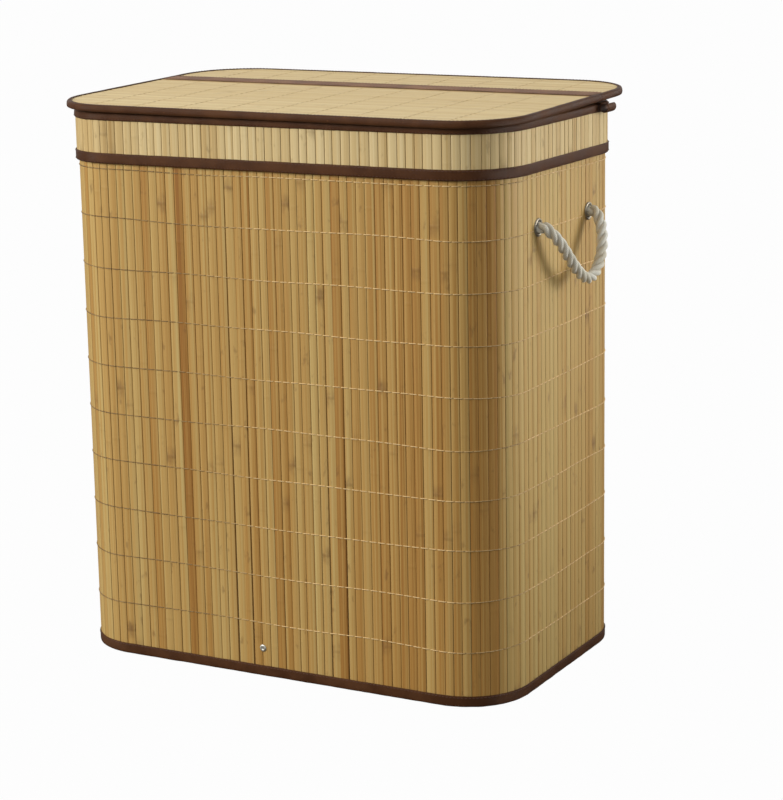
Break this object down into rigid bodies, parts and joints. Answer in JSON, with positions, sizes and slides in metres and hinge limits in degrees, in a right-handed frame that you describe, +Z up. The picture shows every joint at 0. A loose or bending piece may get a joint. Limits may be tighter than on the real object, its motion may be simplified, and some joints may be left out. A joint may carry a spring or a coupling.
{
  "type": "laundry hamper with lid",
  "caption": "Rounded rectangular bamboo slat laundry hamper with taped edges, a folding hinged lid, rope side handles and a cotton liner.",
  "frame": {"origin": "on the floor, in the middle of the base's underside", "axes": "+Z up, +X to the right along the long front, the front faces -Y, rope handles on the +X and -X ends"},
  "size_m": [0.5798, 0.3541, 0.6074],
  "materials": {
    "bamboo": "satin caramel bamboo slats with nodes",
    "pale_bamboo": "satin pale bamboo slats",
    "tape": "dark brown satin binding tape",
    "backing": "glued non-woven cloth",
    "board": "plain fibreboard",
    "cotton": "undyed cotton cloth",
    "rope": "twisted off-white cotton rope",
    "nickel": "nickel plated",
    "steel": "plain steel wire",
    "hook_pad": "hook and loop tape"
  },
  "bodies": {
    "hamper": {"body_mat": "bamboo", "backing_cloth": "backing", "bottom_binding": "tape", "base_cover": "backing", "base_board": "board", "collar_mat": "pale_bamboo", "collar_lower_binding": "tape", "collar_upper_binding": "tape", "rim_wire": "steel", "rivet_front": "nickel", "grommet_right_front": "nickel", "grommet_right_rear": "nickel", "grommet_left_front": "nickel", "grommet_left_rear": "nickel", "washer_right_front": "nickel", "washer_right_rear": "nickel", "washer_left_front": "nickel", "washer_left_rear": "nickel", "rope_knot_right_front": "rope", "rope_knot_right_rear": "rope", "rope_knot_left_front": "rope", "rope_knot_left_rear": "rope", "lid_rear_lining": "backing", "lid_rear_board": "board", "lid_rear_mat": "pale_bamboo", "lid_rear_binding": "tape", "hinge_tape_rear": "tape", "lid_loop_right": "tape", "lid_loop_left": "tape", "liner_bag": "cotton", "hook_pad_front": "hook_pad", "hook_pad_rear": "hook_pad", "hook_pad_left": "hook_pad", "hook_pad_right": "hook_pad", "loop_pad_front": "hook_pad", "loop_pad_rear": "hook_pad", "loop_pad_left": "hook_pad", "loop_pad_right": "hook_pad"},
    "lid_flap": {"lid_front_lining": "backing", "lid_front_board": "board", "lid_front_mat": "pale_bamboo", "lid_front_binding": "tape", "hinge_tape_front": "tape"},
    "right_handle": {"handle_rope_right": "rope"},
    "left_handle": {"handle_rope_left": "rope"}
  },
  "joints": [
    {"name": "lid_fold", "type": "hinge", "parent": "hamper", "child": "lid_flap", "pos_m": [0.00005, 0.0729, 0.60312], "axis": [-1, 0, 0.0065], "range_deg": [0, 165]},
    {"name": "right_handle_swing", "type": "hinge", "parent": "hamper", "child": "right_handle", "pos_m": [0.2667, 0, 0.481], "axis": [0, -1, 0], "range_deg": [0, 125]},
    {"name": "left_handle_swing", "type": "hinge", "parent": "hamper", "child": "left_handle", "pos_m": [-0.2667, 0, 0.481], "axis": [0, 1, 0], "range_deg": [0, 125]}
  ]
}
